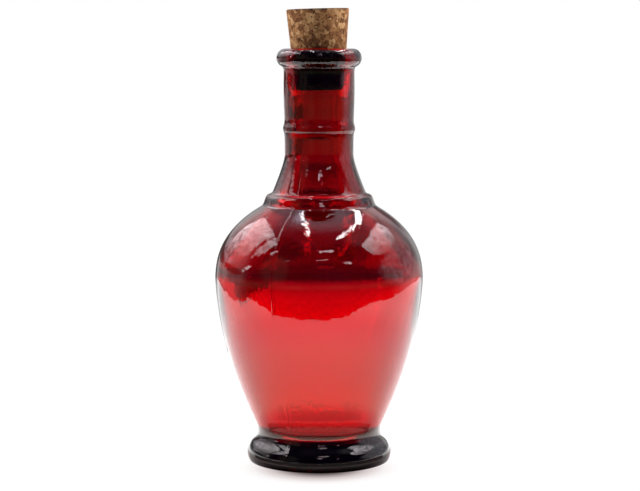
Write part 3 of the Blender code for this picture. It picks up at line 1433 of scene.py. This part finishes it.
    def build_room(self) -> None:
        """Build the dim room, with the lit and the unlit parts of its walls."""
        room = bmesh.new()
        bmesh.ops.create_cube(room, size=2 * self.room_half)
        self.show(finished(room, "room", DimRoom().material()), Seen.BY_GLASS)
        # Lit plaster shows as pale patches in the glass, and what stands before it as dark ones.
        lit = Glow("Wall, lit", "fff6f6", 1.2, soft=0.6)
        dull = Glow("Wall, lit, dull", "f8f2ff", 0.85, soft=0.5, patchy=0.5, patch_mm=260.0)
        unlit = Glow("Wall, unlit", "fff8f0", 0.14, soft=0.5)
        shelf = Glow("Shelf, dark", "fff0f0", 0.12, soft=0.3)
        self.hang("wall_behind_left", (-24.0, 22.0), (20.0, 24.0), 2.4, lit)
        self.hang("wall_behind_right", (27.0, 39.0), (24.0, 16.0), 2.4, lit)
        self.hang("wall_right", (76.0, 12.0), (76.0, 44.0), 2.2, dull)
        self.hang("wall_left", (-50.0, 12.0), (46.0, 18.0), 2.2, replace(dull, strength=1.2))
        self.hang("wall_front_left", (-128.0, 18.0), (44.0, 58.0), 2.2, unlit)
        self.hang("shelf_left", (-67.0, 2.6), (42.0, 6.5), 1.9, shelf)
        self.hang("shelf_behind_left", (-28.0, 3.0), (42.0, 8.0), 1.8, shelf)
        dim = replace(shelf, strength=0.2, soft=0.6)
        self.hang("wall_dark_right", (15.0, 15.0), (26.0, 20.0), 2.0, dim)

    def build_windows(self) -> None:
        """Stand up the windows to the left and the right."""
        # Each mirrors as a pale mottled pane on one side of the shoulder.
        garden = DayWindow()
        self.pane("window_left", self.window_left_x, self.window_left, garden)
        self.pane("window_left_pane", self.window_left_x, self.window_left_pane, garden)
        bright = replace(garden, levels=self.window_right_levels)
        self.pane("window_right", self.window_right_x, self.window_right, bright)

    def build_doorway(self) -> None:
        """Stand up the dark doorway behind the bottle, and a dull rail close behind it."""
        self.stand("doorway_behind", (-0.30, 0.30), 1.0, (-0.03, 0.27), Doorway())
        over = Doorway(
            "Doorway, dark, its upper half",
            rise=((0.20, 0.10), (0.30, 0.12)),
            middle=-0.02,
            sides=(0.05, 0.20),
            foot=(0.196, 0.212),
            head=(0.285, 0.305),
        )
        self.stand("doorway_over", (-0.23, 0.19), 0.98, (0.19, 0.31), over)
        rail = Doorway(
            "Rail, dull, behind the bottle",
            rise=((0.05, 0.26), (0.066, 0.13), (0.11, 0.115)),
            middle=-0.025,
            sides=(0.095, 0.12),
            foot=(0.052, 0.068),
            head=(0.109, 0.117),
        )
        self.stand("rail_behind", (-0.15, 0.10), 0.2, (0.05, 0.12), rail)

    def build_ceiling(self) -> None:
        """Lay the ceiling's lit parts, and hang the tube lamps just under them."""
        # White plaster mirrors as a grey violet sheen high on the shoulder.
        plaster = Glow("Ceiling, lit by its tubes", "f6eeff", 1.0, soft=0.5)
        dim = Glow("Ceiling, far from its tubes", "f8ecff", 0.32, soft=0.5)
        bright = Glow("Ceiling beside a tube", "f0e8ff", 3.6, soft=0.8)
        for name, finish, middle, half in (
            ("ceiling_lit", plaster, (0.05, 0.55, 1.905), (1.0, 0.85)),
            ("ceiling_right", dim, (1.20, -0.10, 1.906), (0.75, 0.75)),
            ("ceiling_bright", bright, (-0.36, 0.56, 1.903), (0.24, 0.42)),
        ):
            x, y = ((middle[i] - half[i], middle[i] + half[i]) for i in (0, 1))
            finish = replace(finish, middle=middle, reach=(*half, 1.0))
            self.lay(name, x, y, middle[2], finish.material())
        # The tubes mirror as white streaks, and the far ones as short dashes.
        near = Glow("Tube lamp, white", "ffffff", 26.0).material()
        far = Glow("Tube lamp, white, far", "fff0f4", 9.0).material()
        for index, (x0, y0, x1, y1, wide) in enumerate(self.near_tubes + self.far_tubes):
            start = Vector((x0, y0, self.tube_height))
            end = Vector((x1, y1, self.tube_height))
            side = (end - start).normalized().cross(Vector(UP)) * wide / 2
            outline = [start - side, start + side, end + side, end - side]
            self.sheet(f"tube_{index}", outline, near if index < len(self.near_tubes) else far)
        self.sheet("tube_side", self.side_tube, far)

    def build_light(self) -> None:
        """Set a white world that the matt pieces don't take, and a soft lamp at each side."""
        world = bpy.data.worlds.new("Studio")
        world.use_nodes = True
        sky = world.node_tree.nodes["Background"]
        sky.inputs["Color"].default_value = (1.0, 1.0, 1.0, 1.0)
        sky.inputs["Strength"].default_value = 1.0
        world.cycles_visibility.diffuse = False
        bpy.context.scene.world = world
        self.lamp("left", (-1.3, 0.28, 0.50), 20.0)
        self.lamp("right", (1.3, 0.19, 0.50), 23.0)

    def lamp(self, name: str, place: Triple, watts: float) -> None:
        """Add a soft square lamp that is aimed at the bottle.

        Args:
            name: The lamp's name.
            place: Where it hangs.
            watts: Its power.
        """
        data = bpy.data.lights.new(name, "AREA")
        data.size = self.lamp_size
        data.energy = watts
        lamp = bpy.data.objects.new(name, data)
        lamp.location = place
        aim = Vector(self.lamp_aim) - Vector(place)
        lamp.rotation_euler = aim.to_track_quat("-Z", "Y").to_euler()
        lamp.visible_glossy = lamp.visible_transmission = lamp.visible_camera = False
        bpy.context.scene.collection.objects.link(lamp)

    def build(self) -> None:
        """Set out the table, the room and what it holds, and the light."""
        self.build_table()
        self.build_shade_ring()
        self.build_room()
        self.build_windows()
        self.build_doorway()
        self.build_ceiling()
        self.build_light()


@dataclass
class Eye:
    """The camera, level with the lip and pitched down to the body."""

    frame_px: float = 640.0
    sensor_width: float = 36.0
    focal_px: float = 1892.0
    distance: float = 0.9089
    height: float = 0.1985
    pitch: float = math.radians(5.8994)
    side_px: float = 0.9

    def build(self) -> None:
        """Add the camera and make it the scene's."""
        data = bpy.data.cameras.new("Eye")
        data.sensor_width = self.sensor_width
        data.lens = self.focal_px / self.frame_px * self.sensor_width
        data.clip_start = 0.01
        eye = bpy.data.objects.new("Eye", data)
        offset = self.side_px * self.distance / self.focal_px
        eye.location = (offset, -self.distance, self.height)
        eye.rotation_euler = (math.pi / 2 - self.pitch, 0.0, 0.0)
        bpy.context.scene.collection.objects.link(eye)
        bpy.context.scene.camera = eye


def settle_render() -> None:
    """Give light enough turns inside the glass and keep its colours plain."""
    scene = bpy.context.scene
    scene.view_settings.view_transform = "Standard"
    scene.cycles.max_bounces = 24
    scene.cycles.transmission_bounces = 24
    scene.cycles.glossy_bounces = 12
    scene.cycles.caustics_reflective = False
    scene.cycles.caustics_refractive = False


def main() -> None:
    """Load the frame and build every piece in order."""
    logging.basicConfig(level=logging.INFO, format="%(message)s")
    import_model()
    Eye().build()
    Studio().build()
    for maker in (GlassShell(), CorkStopper()):
        item = maker.build()
        LOG.info("%s: %d faces", item.name, len(item.data.polygons))
    settle_render()


if __name__ == "__main__":
    main()
